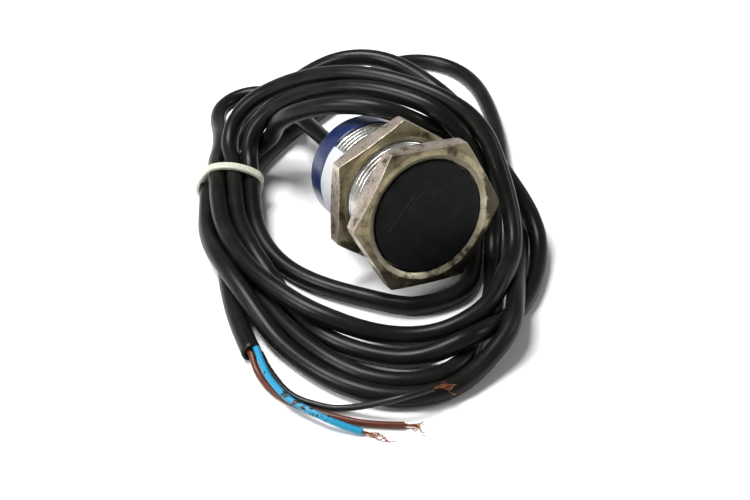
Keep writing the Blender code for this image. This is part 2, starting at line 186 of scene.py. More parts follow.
def tube_points(route, radii, sides):
    """Rings of points round a route; radii has one radius per route point."""
    _, side, over = carried_frames(route)
    angle = np.linspace(0, 2 * math.pi, sides, endpoint=False)[None, :, None]
    ring = side[:, None] * np.cos(angle) + over[:, None] * np.sin(angle)
    return (route[:, None] + ring * np.asarray(radii)[:, None, None]).reshape(-1, 3)


# ---- materials -------------------------------------------------------------------------
class Look:
    """A Principled material whose sockets are driven by small chains of nodes."""

    def __init__(self, name, **values):
        self.mat = bpy.data.materials.new(name)
        self.mat.use_nodes = True
        self.tree = self.mat.node_tree
        self.shader = self.tree.nodes["Principled BSDF"]
        for key, value in values.items():
            self.put(self.shader, key.replace("_", " "), value)

    def put(self, node, socket, value):
        if isinstance(value, bpy.types.NodeSocket):
            self.tree.links.new(value, node.inputs[socket])
        elif isinstance(value, tuple) and len(value) == 3 and node.inputs[socket].type == "RGBA":
            node.inputs[socket].default_value = (*value, 1.0)
        else:
            node.inputs[socket].default_value = value

    def drive(self, **sockets):
        for key, value in sockets.items():
            self.put(self.shader, key.replace("_", " "), value)
        return self

    def add(self, kind, output=0, settings=(), **inputs):
        node = self.tree.nodes.new("ShaderNode" + kind)
        for key, value in settings:
            setattr(node, key, value)
        for key, value in inputs.items():
            name = int(key[1:]) if key[0] == "_" else key.replace("_", " ")
            self.put(node, name, value)
        return node.outputs[output]

    def place(self, scale=(1.0, 1.0, 1.0)):
        coordinates = self.add("TexCoord", "Object")
        return self.add("Mapping", Vector=coordinates, Scale=scale)

    def noise(self, size, detail=3.0, vector=None, roughness=0.55):
        """Noise whose features are about size millimetres across."""
        vector = vector or self.place()
        return self.add("TexNoise", "Fac", Vector=vector, Scale=1.0 / (size * MM),
                        Detail=detail, Roughness=roughness)

    def sum(self, kind, a, b=0.0, clamp=False):
        return self.add("Math", settings=(("operation", kind), ("use_clamp", clamp)), _0=a, _1=b)

    def between(self, value, low, high, to_low=0.0, to_high=1.0):
        """The value's range low to high spread over to_low to to_high, smoothly."""
        settings = (("interpolation_type", "SMOOTHSTEP"),)
        return self.add("MapRange", settings=settings, Value=value, From_Min=low, From_Max=high,
                        To_Min=to_low, To_Max=to_high)

    def blend(self, factor, a, b):
        node = self.tree.nodes.new("ShaderNodeMix")
        node.data_type = "RGBA"
        self.put(node, 0, factor)
        self.put(node, 6, a)
        self.put(node, 7, b)
        return node.outputs[2]

    def bump(self, height, depth, under=None):
        inputs = {"Height": height, "Distance": depth * MM, "Strength": 1.0}
        if under:
            inputs["Normal"] = under
        return self.add("Bump", **inputs)


def nickel(name, bright, warm, stained, polish):
    """Nickel on brass: slow drift of tone, fine speckle, pits and a few stains."""
    look = Look(name, Metallic=1.0)
    cloud = look.between(look.noise(7.0, 4.0), 0.35, 0.68)
    fine = look.noise(0.35, 5.0, roughness=0.7)
    stain = look.between(look.noise(4.0, 6.0, roughness=0.62), 0.62 - stained, 0.74 - stained)
    colour = look.blend(cloud, bright, warm)
    colour = look.blend(look.sum("MULTIPLY", stain, 0.7), colour, (0.12, 0.10, 0.07))
    rough = look.between(fine, 0.3, 0.75, polish, polish + 0.2)
    return look.drive(Base_Color=colour, Roughness=rough, Normal=look.bump(fine, 0.012)).mat


def nut_metal(name):
    """Worn nickel on brass: pale pitted flats, faces painted darker olive as painted shade,
    and the countersink and chamfers painted brighter as painted light.

    The lower part is painted darker as painted shade, the side towards +x is darker too,
    and random stains lie over both.
    """
    look = Look(name, Metallic=1.0)
    where = look.place()
    level = look.add("SeparateXYZ", "Z", Vector=look.add("TexCoord", "Normal"))
    level = look.sum("ABSOLUTE", level)
    face = look.between(level, 0.90, 0.96)
    slope = look.sum("MULTIPLY", look.between(level, 0.2, 0.5), look.sum("SUBTRACT", 1.0, face))

    fine = look.noise(0.30, 5.0, roughness=0.7)
    cloud = look.between(look.noise(5.0, 5.0), 0.36, 0.66)
    speck = look.between(look.noise(0.38, 4.0, roughness=0.65), 0.50, 0.64)
    flats = look.blend(cloud, (0.76, 0.66, 0.58), (0.52, 0.43, 0.35))
    flats = look.blend(look.sum("MULTIPLY", speck, 0.75), flats, (0.26, 0.20, 0.15))
    # Painted shade: the faces across the axis get a darker olive than the flats.
    faces = look.blend(cloud, (0.38, 0.325, 0.205), (0.205, 0.165, 0.100))
    faces = look.blend(look.sum("MULTIPLY", speck, 0.35), faces, (0.12, 0.095, 0.06))
    # Painted light: the chamfers and the countersink get a brighter tone than the faces.
    lit_slope_colour = look.blend(cloud, (0.62, 0.57, 0.42), (0.47, 0.42, 0.29))
    colour = look.blend(face, look.blend(slope, flats, lit_slope_colour), faces)

    # Painted shade makes the lower part (-y) darker; the side towards +x is made darker too.
    height = look.add("SeparateXYZ", "Y", Vector=where)
    sideways = look.add("SeparateXYZ", "X", Vector=where)
    low = look.between(height, -17 * MM, 0.0, 0.17, 0.0)
    corner = look.between(sideways, 15 * MM, 18.5 * MM, 0.0, 0.26)
    stains_and_low_shade = look.sum("ADD", look.noise(5.0, 6.0, roughness=0.62), look.sum("ADD", low, corner))
    stains_and_low_shade = look.sum("SUBTRACT", stains_and_low_shade, look.sum("MULTIPLY", slope, 0.10))
    stain = look.between(stains_and_low_shade, 0.545, 0.66)
    # One dark colour for the random stains and the painted shade of the lower part.
    colour = look.blend(look.sum("MULTIPLY", stain, 0.88), colour, (0.050, 0.042, 0.030))
    pits = look.between(look.noise(0.30, 2.0), 0.60, 0.66)
    colour = look.blend(look.sum("MULTIPLY", pits, 0.7), colour, (0.07, 0.055, 0.04))

    rough = look.between(fine, 0.3, 0.75, 0.30, 0.46)
    rough = look.sum("ADD", rough, look.sum("MULTIPLY", stain, 0.10))
    relief = look.bump(look.sum("SUBTRACT", 1.0, pits), 0.03, look.bump(fine, 0.02))
    return look.drive(Base_Color=colour, Roughness=rough, Normal=relief).mat


def soft_plastic(name, colour, other, rough, grain=0.15, depth=0.006, **values):
    """Moulded plastic or rubber: slight colour drift, fine grain and uneven gloss."""
    look = Look(name, **values)
    drift = look.between(look.noise(6.0, 4.0), 0.3, 0.7)
    fine = look.noise(grain, 3.0)
    tone = look.blend(drift, colour, other)
    gloss = look.between(fine, 0.3, 0.7, rough - 0.05, rough + 0.07)
    return look.drive(Base_Color=tone, Roughness=gloss, Normal=look.bump(fine, depth)).mat


def cable_jacket(name):
    """Black PVC: fine drawn lines along the cable, handling marks and a little dust."""
    look = Look(name, Specular_IOR_Level=0.16)
    round_cable = look.add("Attribute", "Vector", settings=(("attribute_name", "round_cable"),))
    drawn = look.add("TexNoise", "Fac", Vector=round_cable, Scale=9.0, Detail=3.0)
    fine = look.noise(0.25, 4.0)
    handled = look.between(look.noise(9.0, 3.0), 0.4, 0.7)
    dust = look.between(look.noise(0.45, 1.0), 0.74, 0.80)
    tone = look.blend(handled, (0.0050, 0.0050, 0.0044), (0.0090, 0.0088, 0.0076))
    tone = look.blend(look.sum("MULTIPLY", dust, 0.35), tone, (0.16, 0.15, 0.13))
    gloss = look.between(fine, 0.3, 0.75, 0.26, 0.36)
    gloss = look.sum("ADD", gloss, look.sum("MULTIPLY", handled, 0.08))
    relief = look.bump(drawn, 0.02, look.bump(fine, 0.008))
    return look.drive(Base_Color=tone, Roughness=gloss, Normal=relief).mat


FACE_SCRATCHES = (           # turn in degrees, offset, start, end and half width, mm
    (45, 7.35, -9.6, 5.2, 0.09),
    (38, 6.1, -3.0, 5.0, 0.05),
    (12, 5.6, 1.0, 11.5, 0.04),
    (118, 2.0, 2.0, 7.0, 0.04),
)


def face_plastic(name):
    """Matt black sensing face with fine grain and a few thin scratches."""
    look = Look(name, Specular_IOR_Level=0.12)
    fine = look.noise(0.18, 3.0)
    drift = look.between(look.noise(5.0, 4.0), 0.35, 0.7)
    tone = look.blend(drift, (0.0060, 0.0063, 0.0070), (0.0105, 0.0110, 0.0125))
    where = look.place()
    marks = 0.0
    for turn, offset, start, end, width in FACE_SCRATCHES:
        angle = math.radians(turn)
        line = (math.cos(angle), math.sin(angle), 0.0)
        across = (-line[1], line[0], 0.0)
        settings = (("operation", "DOT_PRODUCT"),)
        run = look.add("VectorMath", "Value", settings, _0=where, _1=line)
        off = look.add("VectorMath", "Value", settings, _0=where, _1=across)
        off = look.sum("ABSOLUTE", look.sum("SUBTRACT", off, offset * MM))
        thin = look.between(off, 0.3 * width * MM, width * MM, 1.0, 0.0)
        first = look.between(run, start * MM, (start + 2) * MM)
        last = look.between(run, (end - 2) * MM, end * MM, 1.0, 0.0)
        mark = look.sum("MULTIPLY", thin, look.sum("MULTIPLY", first, last))
        marks = look.sum("MAXIMUM", mark, marks)
    broken = look.between(look.noise(0.6, 3.0), 0.35, 0.6)
    marks = look.sum("MULTIPLY", marks, broken)
    tone = look.blend(look.sum("MULTIPLY", marks, 0.5), tone, (0.16, 0.16, 0.16))
    gloss = look.between(fine, 0.3, 0.7, 0.46, 0.60)
    relief = look.bump(marks, -0.01, look.bump(fine, 0.01))
    return look.drive(Base_Color=tone, Roughness=gloss, Normal=relief).mat


def wire_insulation(name, colour, middle_marks):
    """Thin coloured PVC with scattered near-black marks, more of them on a middle stretch of the wire."""
    look = Look(name, Specular_IOR_Level=0.3)
    fine = look.noise(0.2, 3.0)
    run = look.add("SeparateXYZ", "Y", Vector=look.place())
    # More near-black marks where y is between -38 and -56 mm, scaled by the third argument.
    middle = look.sum("MULTIPLY", look.between(run, -38 * MM, -42 * MM),
                      look.between(run, -56 * MM, -53 * MM))
    marks = look.sum("ADD", look.noise(1.5, 5.0, roughness=0.62),
                     look.sum("MULTIPLY", middle, middle_marks))
    dark_marks = look.between(marks, 0.64, 0.68)
    tone = look.blend(fine, colour, tuple(0.72 * part for part in colour))
    tone = look.blend(dark_marks, tone, (0.012, 0.012, 0.012))
    gloss = look.between(fine, 0.3, 0.7, 0.30, 0.44)
    return look.drive(Base_Color=tone, Roughness=gloss, Normal=look.bump(fine, 0.008)).mat


def nylon(name):
    """Natural nylon that lets some light in and is faintly yellow where it is thick."""
    look = Look(name, Subsurface_Weight=0.35, Subsurface_Scale=0.0012, IOR=1.53)
    look.shader.inputs["Subsurface Radius"].default_value = (1.0, 0.9, 0.7)
    fine = look.noise(0.3, 3.0)
    drift = look.between(look.noise(5.0, 2.0), 0.3, 0.7)
    tone = look.blend(drift, (0.50, 0.54, 0.48), (0.58, 0.58, 0.48))
    gloss = look.between(fine, 0.3, 0.7, 0.28, 0.42)
    return look.drive(Base_Color=tone, Roughness=gloss, Normal=look.bump(fine, 0.01)).mat


def paper(name):
    look = Look(name, Roughness=0.78, Specular_IOR_Level=0.3)
    fibre = look.noise(0.12, 4.0, look.place((1.0, 1.0, 0.35)))
    soiled = look.between(look.noise(3.5, 5.0), 0.52, 0.78)
    tone = look.blend(fibre, (0.50, 0.51, 0.53), (0.43, 0.44, 0.46))
    tone = look.blend(look.sum("MULTIPLY", soiled, 0.6), tone, (0.28, 0.33, 0.46))
    return look.drive(Base_Color=tone, Normal=look.bump(fibre, 0.02)).mat


def copper(name):
    look = Look(name, Metallic=1.0)
    tarnish = look.between(look.noise(0.8, 4.0), 0.35, 0.7)
    tone = look.blend(tarnish, (0.46, 0.19, 0.095), (0.16, 0.065, 0.035))
    gloss = look.between(tarnish, 0.0, 1.0, 0.26, 0.46)
    return look.drive(Base_Color=tone, Roughness=gloss).mat


# ---- camera, light and floor -----------------------------------------------------------
def link(obj):
    bpy.context.scene.collection.objects.link(obj)
    return obj


def camera():
    data = bpy.data.cameras.new("camera")
    data.lens = 57.6
    data.clip_start, data.clip_end = 0.01, 20.0
    obj = link(bpy.data.objects.new("camera", data))
    obj.location = (-0.1236, -0.2291, 0.1925)
    obj.rotation_euler = (math.radians(90 - 36.4), 0, math.radians(-27.4))
    bpy.context.scene.camera = obj


def softbox(name, place, size, power, tint=(1.0, 1.0, 1.0)):
    """Square area light that looks at the middle of the object."""
    data = bpy.data.lights.new(name, "AREA")
    data.shape = "SQUARE"
    data.size = size
    data.energy = power
    data.color = tint
    obj = link(bpy.data.objects.new(name, data))
    obj.location = place
    obj.rotation_euler = (-Vector(place)).to_track_quat("-Z", "Y").to_euler()


def studio():
    softbox("overhead_softbox", (-0.25, 0.25, 0.90), 0.40, 12.0)
    softbox("left_softbox", (-0.75, 0.05, 0.50), 0.25, 4.0)
    softbox("right_softbox", (0.70, -0.30, 0.50), 0.25, 1.2)

    world = bpy.data.worlds.new("studio")
    world.use_nodes = True
    tree = world.node_tree
    coordinates = tree.nodes.new("ShaderNodeTexCoord")
    axes = tree.nodes.new("ShaderNodeSeparateXYZ")
    ramp = tree.nodes.new("ShaderNodeValToRGB")
    ramp.color_ramp.elements[0].position = 0.0
    ramp.color_ramp.elements[0].color = (1.0, 1.0, 1.0, 1)
    ramp.color_ramp.elements[1].position = 0.6
    ramp.color_ramp.elements[1].color = (0.25, 0.25, 0.25, 1)
    tree.links.new(coordinates.outputs["Generated"], axes.inputs[0])
    tree.links.new(axes.outputs["Z"], ramp.inputs[0])
    background = tree.nodes["Background"]
    background.inputs["Strength"].default_value = 0.6
    tree.links.new(ramp.outputs["Color"], background.inputs["Color"])
    bpy.context.scene.world = world
    bpy.context.scene.view_settings.view_transform = "Standard"


def floor():
    bpy.ops.mesh.primitive_plane_add(size=6.0, location=(0, 0, 0))
    obj = bpy.context.object
    obj.name = "floor"
    look = Look("floor_paper", Roughness=0.95, Specular_IOR_Level=0.0)
    fine = look.noise(4.0, 2.0)
    look.drive(Base_Color=look.blend(fine, (0.90, 0.90, 0.90), (0.92, 0.92, 0.92)))
    obj.data.materials.append(look.mat)


# ---- the cable's way -------------------------------------------------------------------
def on_axis(z):
    return FACE_CENTRE + z * OUTWARDS


def in_tie(turn):
    across, height = TIE_TURNS[turn]
    return tuple(np.array((*TIE_CENTRE, height)) + TIE_ACROSS * across)


def cable_route():
    """The way of the cable, turn by turn, from the rear cap to the stripped end."""
    low = FLOOR_CABLE
    lead = [tuple(on_axis(z)) for z in (CABLE_START, -36, -40, CABLE_EXIT)] + [
        (0.4, 38.5, 13), (0.8, 47.8, 11.8), (0.9, 58.1, 10.8), (0.9, 69, 9.6),
        (0, 77, 8.6), (-1.8, 83.6, 7.8), (-5.4, 88, 7), (-10, 88.6, 6.4), (-13.8, 85.2, 6),
        (-16.8, 79.6, 5.8), (-19.8, 72.6, 5.6), (-22.8, 65, 6.4), (-25.6, 56.3, 8.2)]
    first_turn = [
        (-36, 31, 9.5), (-39, 21, 8), (-41, 9, 8), (-40, -1, 8), (-37, -11, 8), (-33, -22, 7),
        (-27, -29, 6), (-19, -34, 4), (-11, -38, 4), (-4, -41, 6), (4, -41, 7), (12, -37, 8),
        (18, -31, 10), (22, -25, 12), (24, -20, 16), (26, -15, 20), (26, -9, 24),
        (25, -4, 29), (22, 2, 34), (19, 10, 37), (15, 18, 38), (10, 26, 38), (5, 33, 37),
        (0, 41, 34), (-6, 50, 29), (-11, 55, 24), (-17.2, 58, 19.4), (-22.2, 58, 14.4), (-25.2, 54, 11.2)]
    second_turn = [
        (-32, 31, 9), (-34, 23, 7), (-36, 14, 7), (-36, 5, 6), (-35, -4, 3), (-35, -16, low),
        (-32, -26, low), (-27, -34, low), (-21, -41, low), (-14, -44, 3), (-9, -47, 6),
        (-4, -48, 7.4), (4, -44, 5), (10, -40, 2.6), (18, -37, low), (25, -31, low),
        (31, -24, 3), (34, -18, 5), (36, -12, 8), (36, -8, 11), (34, -5, 14), (34, 1, 17),
        (32, 6, 21), (31, 13, 25), (30, 22, 28), (27, 30, 30), (25, 38, 31), (22, 46, 31),
        (18, 50, 31), (12, 54, 30), (8, 58, 27), (2, 62, 22), (-3, 65, 17), (-9, 66, 12),
        (-14, 67, 7), (-20, 64, 3.5), (-27, 57, 3)]
    third_turn = [
        (-38, 35, 4.8), (-40, 28, 3.5), (-43, 17, 5.5), (-45, 5, 7.3), (-45, -6, 7),
        (-44, -13, 4.5), (-42, -20, 2.6), (-40, -30, low), (-37, -39, low), (-33, -46, low),
        (-27, -52, low), (-21, -55, low), (-16, -56, low), (-9, -55, low), (-3, -52.6, 3.5),
        (2, -49.4, 5.5), (7.4, -45, 7.3), (13, -39, 7), (18, -33, 6), (24.4, -24.4, 5),
        (32, -15, 4),
        (37, -3, 3), (42, 7, low), (46, 17, low), (51, 26, low), (56, 36, low), (61, 48, low),
        (65.2, 61, low), (66.6, 72.4, low), (64, 82, low), (58.6, 88.4, low),
        (52.4, 90.6, low), (45, 90, low), (36, 85.6, low), (25, 80, low), (14, 73.4, low),
        (4, 68, low), (-4, 62.7, low), (-11.2, 57.6, low), (-19.4, 50.6, low)]
    fourth_turn = [
        (-30.5, 33, low), (-34, 26, low), (-37, 17, low), (-39, 7, low), (-39, -3, low),
        (-39, -13, low), (-38.6, -23, low), (-36.4, -32, low), (-33.4, -40, low),
        (-28.4, -46, low), (-22, -50, low), (-15, -51.4, low), (-8.4, -50, low),
        (-2.4, -46.4, low), (3.4, -41.4, low), (9, -35.4, low), (14.4, -28.4, low),
        (18.8, -21, low), (22, -15, 3.5), (24, -11, 7),
        (25, -9, 11), (26, -7, 15), (25, -6, 19), (24, -5, 24), (21, -1, 30), (18, 4, 34),
        (14, 11, 36.3), (10, 18, 37), (6, 24, 36.6), (1, 30, 34.8), (-3.6, 38.2, 31),
        (-9, 44.6, 26), (-13.4, 50, 19.4), (-18, 50, 14), (-21.4, 45.4, 10)]
    fifth_turn = [
        (-28, 30, 7), (-30, 23, 6), (-31, 16, 4.5), (-30, 8, 2.8), (-28, 0, low),
        (-24, -8, low), (-19, -14, low), (-14, -19, low), (-7.4, -24.3, low),
        (-2, -25.9, low), (4, -25.8, low), (8.8, -23.9, low), (12.6, -19.6, low),
        (16.6, -14.6, 3.0), (20.6, -9.8, 6.0), (23.8, -5.2, 10.4), (25, 0, 16),
        (23.5, 5, 25), (18.5, 7, 30.5), (11, 7.8, 35), (5, 11.4, 36.8), (0, 16.4, 36.2),
        (-5.4, 22.2, 35.2), (-10.2, 29.6, 31.4), (-13.6, 37.6, 25.4), (-14.6, 45.4, 18.4),
        (-16, 51, 11.6), (-20, 52.6, 6.6), (-25.4, 48.8, 5)]
    tail = [
        (-35, 30, 4), (-40.4, 19, low), (-44, 8, low), (-46.8, -2, low), (-48.8, -12, low),
        (-50.2, -23.4, low)]
    return (lead + [in_tie("first")] + first_turn + [in_tie("second")] + second_turn
            + [in_tie("third")] + third_turn + [in_tie("fourth")] + fourth_turn
            + [in_tie("fifth")] + fifth_turn + [in_tie("tail")] + tail)


SETTLE_STEP = 2.6
SETTLE_ROUNDS = 400
HELD_POINTS = 6              # inside the cap and the grommet
TIGHTEST_BEND = 11.8
SENSOR_SOLIDS = (            # start and end along the barrel's axis, radius
    (-4.7, 0.9, 21.1), (-19.0, -13.4, 21.1), (-31.3, 0.6, 15.2), (-39.5, -31.0, 15.2))


def off_the_sensor(points):
    """Moves points out of the barrel, the cap and the circles that the nuts turn in."""
    for start, end, radius in SENSOR_SOLIDS:
        offset = points - FACE_CENTRE
        along = offset @ OUTWARDS
        radial = offset - np.outer(along, OUTWARDS)
        reach = np.linalg.norm(radial, axis=1)
        past_end = np.abs(along - (start + end) / 2) - (end - start) / 2
        past_side = reach - radius
        outside = np.maximum(np.stack([past_end, past_side]), 0)
        inside = (past_end <= 0) & (past_side <= 0)
        outside[0] = np.where(inside & (past_end > past_side), 1e-3, outside[0])
        outside[1] = np.where(inside & (past_end <= past_side), 1e-3, outside[1])
        size = np.linalg.norm(outside, axis=0)
        distance = np.where(inside, np.maximum(past_end, past_side), size)
        way = (np.outer(outside[0] * np.sign(along - (start + end) / 2), OUTWARDS)
               + radial / (reach[:, None] + 1e-9) * outside[1][:, None])
        way /= size[:, None] + 1e-12
        push = np.maximum(CABLE_RADIUS - distance, 0)
        points = points + way * push[:, None]
    return points


def settle(route):
    """Lets the cable find its shape: stiff, not stretching, lying on itself and the floor.

    Each round pulls the points a little towards the route, evens out the bending, keeps
    the spacing, and pushes touching turns apart.
    """
    target = even_steps(smooth_route(route, 12), SETTLE_STEP)
    points = target.copy()
    count = len(points)
    spacing = np.linalg.norm(np.diff(target, axis=0), axis=1).mean()
    first, second = np.triu_indices(count, 5)
    apart = 2 * CABLE_RADIUS + 0.12
    for turn in range(SETTLE_ROUNDS):
        pull = 0.02 if turn < 0.7 * SETTLE_ROUNDS else 0.006
        points = points + (target - points) * pull
        for _ in range(2):
            bend = np.zeros_like(points)
            bend[1:-1] = (points[:-2] + points[2:]) / 2 - points[1:-1]
            change = np.zeros_like(points)
            change[1:-1] = (bend[:-2] + bend[2:]) / 2 - bend[1:-1]
            points -= 0.25 * change
        bend[1:-1] = (points[:-2] + points[2:]) / 2 - points[1:-1]
        size = np.linalg.norm(bend, axis=1)[:, None] + 1e-9
        points += 0.8 * bend * np.maximum(1 - SETTLE_STEP ** 2 / (2 * TIGHTEST_BEND) / size, 0)
        points[:HELD_POINTS] = target[:HELD_POINTS]
        for _ in range(3):
            gap = np.diff(points, axis=0)
            length = np.linalg.norm(gap, axis=1)[:, None]
            shift = gap * (1 - spacing / length) * 0.4
            points[:-1] += shift
            points[1:] -= shift
            points[:HELD_POINTS] = target[:HELD_POINTS]
        between = points[first] - points[second]
        near = (np.abs(between) < apart).all(axis=1)
        a, b, between = first[near], second[near], between[near]
        distance = np.linalg.norm(between, axis=1)
        touch = distance < apart
        a, b, between, distance = a[touch], b[touch], between[touch], distance[touch]
        push = between / (distance[:, None] + 1e-9) * ((apart - distance) / 2)[:, None]
        moved, hits = np.zeros_like(points), np.zeros(count)
        np.add.at(moved, a, push)
        np.add.at(moved, b, -push)
        np.add.at(hits, a, 1)
        np.add.at(hits, b, 1)
        points += moved / np.maximum(hits, 1)[:, None] * 1.5
        points = off_the_sensor(points)
        points[:, 2] = np.maximum(points[:, 2], surface_height(points))
        points[:HELD_POINTS] = target[:HELD_POINTS]
    return points


def surface_height(points):
    """Lowest height of the cable's middle: the floor, and the tie's head under the turns."""
    offset = points[:, :2] - TIE_CENTRE
    along, across = offset @ TIE_ALONG[:2], offset @ TIE_ACROSS[:2]
    head, strap = TIE_HEAD[2] + 0.35, TIE_THICKNESS + 0.15
    lift = np.where(across < 1.7, head, strap) * (np.abs(across) < 12)
    return CABLE_RADIUS + 0.02 + lift * np.exp(-(along / 7.0) ** 2)


# ---- cable, wires and tie --------------------------------------------------------------
def cable(look):
    """The whole jacket, hollow at its cut end."""
    centre = smooth_route(settle(cable_route()), 2)
    back = centre[-2] - centre[-1]
    back /= np.linalg.norm(back)
    end = centre[-1]
    route = np.vstack([centre[:-1], end + back * 0.05, end, end, end + back * 2.6])
    radii = np.full(len(route), CABLE_RADIUS)
    radii[-3:] = CABLE_RADIUS - 0.06, 1.8, 1.7

    sides = 20
    ahead, side, over = carried_frames(centre)
    tail = (ahead[-1], side[-1], over[-1])
    count = len(route)
    side = np.vstack([side, np.tile(tail[1], (count - len(side), 1))])
    over = np.vstack([over, np.tile(tail[2], (count - len(over), 1))])
    angle = np.linspace(0, 2 * math.pi, sides, endpoint=False)[None, :, None]
    ring = side[:, None] * np.cos(angle) + over[:, None] * np.sin(angle)
    points = (route[:, None] + ring * radii[:, None, None]).reshape(-1, 3)
    obj = piece("sensor_cable", points, grid_faces(count, sides, ends=True), look, "sensor",
                ("cable_lead", "cable_inner_turn", "cable_back_loop",
                                 "cable_tail", "cable_coil"), sharp=60)
    mark_round_cable(obj, count, sides, SETTLE_STEP / 2)
    return obj, centre


def mark_round_cable(obj, count, sides, step):
    """Stores each point's way along the cable and its side of it, for the drawn lines."""
    angle = np.linspace(0, 2 * math.pi, sides, endpoint=False)
    along = np.repeat(np.arange(count) * step * 0.004, sides)
    values = np.stack([along, np.tile(np.cos(angle), count), np.tile(np.sin(angle), count)], 1)
    layer = obj.data.attributes.new("round_cable", "FLOAT_VECTOR", "POINT")
    layer.data.foreach_set("vector", values.astype(np.float32).ravel())


def wires():
    """The three conductors that leave the jacket, each with its own loose strands."""
    low = WIRE_RADIUS + 0.1
    routes = {
        "brown": [
            (-50.8, -22.0, 2.7), (-50.5, -24.1, 2.6), (-51, -27.0, 1.7), (-51.1, -30.4, low),
            (-50.8, -34.8, low), (-49.6, -39.2, low), (-46.9, -44, low), (-43, -49, low),
            (-39.8, -52.4, low), (-36.9, -55.1, low), (-33, -57.8, low), (-28.6, -60.3, low)],
        "blue": [
            (-49.4, -21.8, 3.1), (-49.1, -23.9, 3.6), (-49.8, -28.9, 3.3), (-50.2, -33.9, 3.0),
            (-49.8, -38.8, 3.0), (-48.8, -43.2, 2.9), (-46.6, -47.6, 2.8), (-43.8, -52, 2.4),
            (-41, -55, 1.6), (-38, -57.8, low)],
        "black": [
            (-49.4, -21.6, 1.5), (-48.2, -23.6, 1.6), (-48.3, -27.4, 1.0), (-48.2, -32.2, low),
            (-47.7, -37.5, low), (-46.2, -41.6, low), (-43.4, -45.2, low), (-40.6, -48, 1.0),
            (-37.8, -50.2, 1.7), (-35.2, -52.2, 2.8), (-32.2, -54.3, 4.2),
            (-29.7, -55.8, 5.2), (-26.9, -56.8, 5.9), (-23.3, -57.3, 6.1), (-19.7, -57.5, 6.1)],
    }
    looks = {
        "brown": wire_insulation("brown_insulation", (0.105, 0.026, 0.010), 0.0),
        "blue": wire_insulation("blue_insulation", (0.016, 0.28, 0.48), 0.12),
        "black": wire_insulation("black_insulation", (0.010, 0.009, 0.009), 0.0),
    }
    bright = copper("bare_copper")
    made = []
    for number, (colour, points) in enumerate(routes.items()):
        centre = even_steps(smooth_route(points, 10), 0.5)
        back = centre[-2] - centre[-1]
        back /= np.linalg.norm(back)
        route = np.vstack([centre[:-1], centre[-1] + back * 0.05, centre[-1]])
        radii = np.full(len(route), WIRE_RADIUS)
        radii[-1] = WIRE_RADIUS - 0.12
        wire = piece(f"{colour}_insulation", tube_points(route, radii, 14),
                     grid_faces(len(route), 14, ends=True), looks[colour], "sensor",
                     (f"{colour}_wire",), sharp=60)
        strands = frayed_strands(colour, centre, number, bright)
        made.append((wire, centre, strands))
    return made


def frayed_strands(colour, centre, number, look):
    """Fine copper strands: gathered where they leave the insulation, then splayed."""
    random = np.random.default_rng(40 + number)
    ahead, side, over = (part[-1] for part in carried_frames(centre))
    ahead = np.array((ahead[0], ahead[1], 0.15 * ahead[2]))
    ahead /= np.linalg.norm(ahead)
    count, sides, radius = 15, 6, 0.07
    points, faces = [], []
    for strand in range(count):
        stray = strand % 3 == 0
        angle = 2.4 * strand
        out = 0.52 * math.sqrt((strand + 0.5) / count)
        root = side * math.cos(angle) * out + over * math.sin(angle) * out
        reach = random.uniform(4.4, 6.6) if stray else random.uniform(3.0, 5.2)
        bow = random.normal(0, 1, 3) * (0.30, 0.30, 0.22) * (1.0 if stray else 0.35)
        curl = random.uniform(4.0, 9.0) * (1 if strand % 2 else -1)
        t = np.linspace(0, 1, 17)[:, None]
        gather = 1 - 0.55 * np.sin(math.pi / 2 * np.minimum(t * 2.2, 1))
        twist = 3.2 * t
        bundle = (root * np.cos(twist) + np.cross(ahead, root) * np.sin(twist)) * gather
        free = np.maximum(t - 0.42, 0)
        loop = (side * np.sin(curl * free) + over * (1 - np.cos(curl * free)))
        loop = loop * (0.16 if stray else 0.04)
        line = (centre[-1] - ahead * 0.6 + ahead * t * reach + bundle
                + (bow * free * 1.5 + loop) * reach)
        line[:, 2] = np.maximum(line[:, 2], radius + 0.03)
        start = len(points) * sides
        points.extend(tube_points(line, np.full(len(line), radius), sides).reshape(-1, sides, 3))
        faces += [[start + v for v in face] for face in grid_faces(len(line), sides, ends=True)]
    return piece(f"{colour}_strands", np.concatenate(points), faces, look, "sensor",
                 (f"{colour}_copper_strands",), sharp=70)


def turns_in_tie(centre):
    """Where the turns cross the tie's plane: across and height."""
    offset = centre[:, :2] - TIE_CENTRE
    along, across = offset @ TIE_ALONG[:2], offset @ TIE_ACROSS[:2]
    found = []
    for i in range(len(centre) - 1):
        if along[i] * along[i + 1] <= 0 and abs(across[i]) < 13:
            part = along[i] / (along[i] - along[i + 1] + 1e-12)
            found.append((across[i] + part * (across[i + 1] - across[i]),
                          centre[i, 2] + part * (centre[i + 1, 2] - centre[i, 2])))
    return np.array(found)


def band_outline(turns, clear, count):
    """Closed line drawn tight round all the turns, as (across, height), evenly spaced."""
    angle = np.linspace(0, 2 * math.pi, 720, endpoint=False)
    way = np.stack([np.cos(angle), np.sin(angle)], 1)
    furthest = turns[(turns @ way.T).argmax(axis=0)]
    reach = (furthest * way).sum(axis=1) + CABLE_RADIUS + clear
    span = np.arange(-60, 61)
    weight = np.exp(-(span / 28.0) ** 2)
    even = sum(w * np.roll(reach, shift) for w, shift in zip(weight, span)) / weight.sum()
    even += np.maximum(reach - even, 0).max() * 0.6
    reach = np.maximum(reach, even)
    slope = np.gradient(np.r_[reach[-1], reach, reach[0]], angle[1])[1:-1]
    line = way * reach[:, None] + np.stack([-way[:, 1], way[:, 0]], 1) * slope[:, None]
    line[:, 1] = np.maximum(line[:, 1], TIE_THICKNESS + 0.05)
    line = np.vstack([line, line[:1]])
    length = np.r_[0, np.cumsum(np.linalg.norm(np.diff(line, axis=0), axis=1))]
    at = np.linspace(0, length[-1], count, endpoint=False)
    return np.stack([np.interp(at, length, line[:, k]) for k in range(2)], 1), length[-1]


